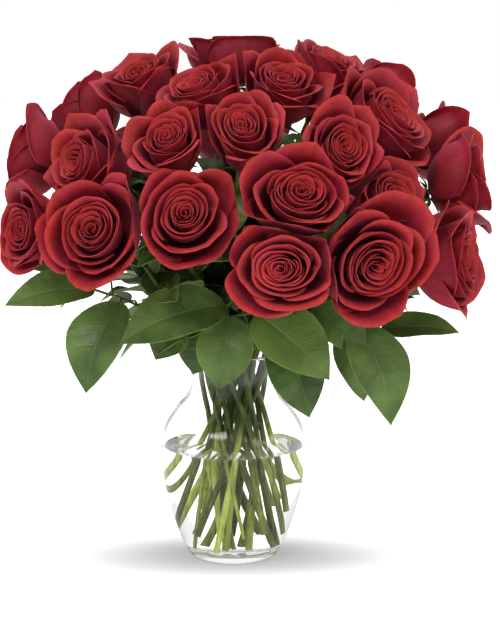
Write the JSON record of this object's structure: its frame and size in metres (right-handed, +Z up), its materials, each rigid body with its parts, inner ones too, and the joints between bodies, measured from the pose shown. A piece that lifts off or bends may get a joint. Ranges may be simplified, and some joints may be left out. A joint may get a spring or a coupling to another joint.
{
  "type": "roses in a vase",
  "caption": "Rounded bunch of long-stemmed red roses and sprays of broad green leaves, standing in water in a clear glass vase with a waisted neck.",
  "frame": {"origin": "centre of the vase's flat foot", "axes": "+Z up along the vase's axis; -Y is the side the bunch faces; +X is to the right as seen from there"},
  "size_m": [0.4561, 0.3855, 0.5036],
  "materials": {
    "vase_glass": "clear polished glass",
    "water": "clear still water",
    "rose_petals": "velvety deep red petals, pinker on the outside",
    "rose_stems": "smooth light green, satin",
    "spray_leaves": "leathery mid green leaves with a satin face and a paler back"
  },
  "bodies": {
    "root": {"vase_glass": "vase_glass", "water": "water", "rose_bloom_01": "rose_petals", "rose_stem_01": "rose_stems", "rose_bloom_02": "rose_petals", "rose_stem_02": "rose_stems", "rose_bloom_03": "rose_petals", "rose_stem_03": "rose_stems", "rose_bloom_04": "rose_petals", "rose_stem_04": "rose_stems", "rose_bloom_05": "rose_petals", "rose_stem_05": "rose_stems", "rose_bloom_06": "rose_petals", "rose_stem_06": "rose_stems", "rose_bloom_07": "rose_petals", "rose_stem_07": "rose_stems", "rose_bloom_08": "rose_petals", "rose_stem_08": "rose_stems", "rose_bloom_09": "rose_petals", "rose_stem_09": "rose_stems", "rose_bloom_10": "rose_petals", "rose_stem_10": "rose_stems", "rose_bloom_11": "rose_petals", "rose_stem_11": "rose_stems", "rose_bloom_12": "rose_petals", "rose_stem_12": "rose_stems", "rose_bloom_13": "rose_petals", "rose_stem_13": "rose_stems", "rose_bloom_14": "rose_petals", "rose_stem_14": "rose_stems", "rose_bloom_15": "rose_petals", "rose_stem_15": "rose_stems", "rose_bloom_16": "rose_petals", "rose_stem_16": "rose_stems", "rose_bloom_17": "rose_petals", "rose_stem_17": "rose_stems", "rose_bloom_18": "rose_petals", "rose_stem_18": "rose_stems", "rose_bloom_19": "rose_petals", "rose_stem_19": "rose_stems", "rose_bloom_20": "rose_petals", "rose_stem_20": "rose_stems", "rose_bloom_21": "rose_petals", "rose_stem_21": "rose_stems", "rose_bloom_22": "rose_petals", "rose_stem_22": "rose_stems", "rose_bloom_23": "rose_petals", "rose_stem_23": "rose_stems", "rose_bloom_24": "rose_petals", "rose_stem_24": "rose_stems", "rose_bloom_25": "rose_petals", "rose_stem_25": "rose_stems", "rose_bloom_26": "rose_petals", "rose_stem_26": "rose_stems", "leaf_spray_left": "spray_leaves", "leaf_spray_front_left": "spray_leaves", "leaf_spray_front": "spray_leaves", "leaf_spray_right": "spray_leaves", "leaf_spray_back_right": "spray_leaves", "leaf_spray_back_left": "spray_leaves"}
  },
  "joints": []
}
